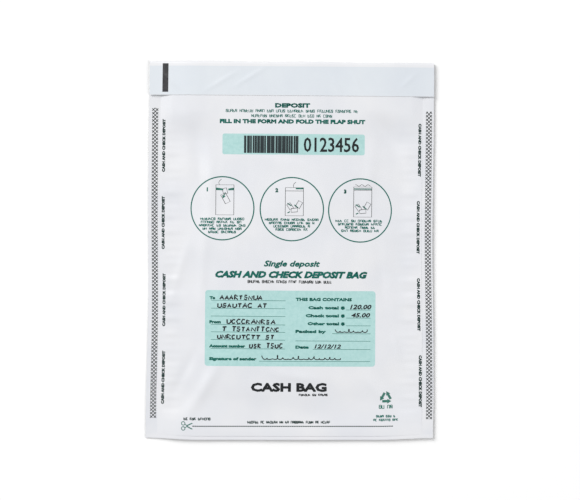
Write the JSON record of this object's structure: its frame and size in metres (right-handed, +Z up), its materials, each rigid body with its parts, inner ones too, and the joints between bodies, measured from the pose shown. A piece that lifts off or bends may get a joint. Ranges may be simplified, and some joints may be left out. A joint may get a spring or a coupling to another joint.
{
  "type": "cash deposit bag",
  "caption": "Flat film cash deposit bag with side welds, a folded-over closure flap, tamper-evident tape and a peel-off release liner.",
  "frame": {"origin": "middle of the bag's outline on the surface that it lies on, flap folded closed", "axes": "+X across the bag towards the right weld of the printed face, +Y from the bottom fold to the mouth, +Z up out of the printed face"},
  "size_m": [0.2286, 0.3, 0.0094],
  "materials": {
    "film": "satin",
    "weld": "satin",
    "bond_adhesive": "gloss",
    "tape": "gloss",
    "void_layer": "matte",
    "seal_adhesive": "gloss",
    "liner": "satin",
    "print_green": "satin",
    "print_teal": "satin",
    "print_black": "satin",
    "print_grey": "satin"
  },
  "bodies": {
    "bag": {"back_panel": "film", "front_panel": "film", "bottom_fold": "film", "left_side_weld": "weld", "right_side_weld": "weld", "flap_fold": "film"},
    "closure_flap": {"flap_film": "film", "tape_bond_adhesive": "bond_adhesive", "security_tape": "tape", "void_message_layer": "void_layer", "seal_adhesive": "seal_adhesive"},
    "release_liner": {"release_liner": "liner"}
  },
  "joints": [
    {"name": "flap_fold", "type": "hinge", "parent": "bag", "child": "closure_flap", "pos_m": [0, 0.1469, 0.0031], "axis": [-1, 0, 0], "range_deg": [0, 180], "deforming": ["flap_fold"]},
    {"name": "liner_peel", "type": "slide", "parent": "closure_flap", "child": "release_liner", "axis": [0, -1, 0], "range_m": [0, 0.03]}
  ]
}
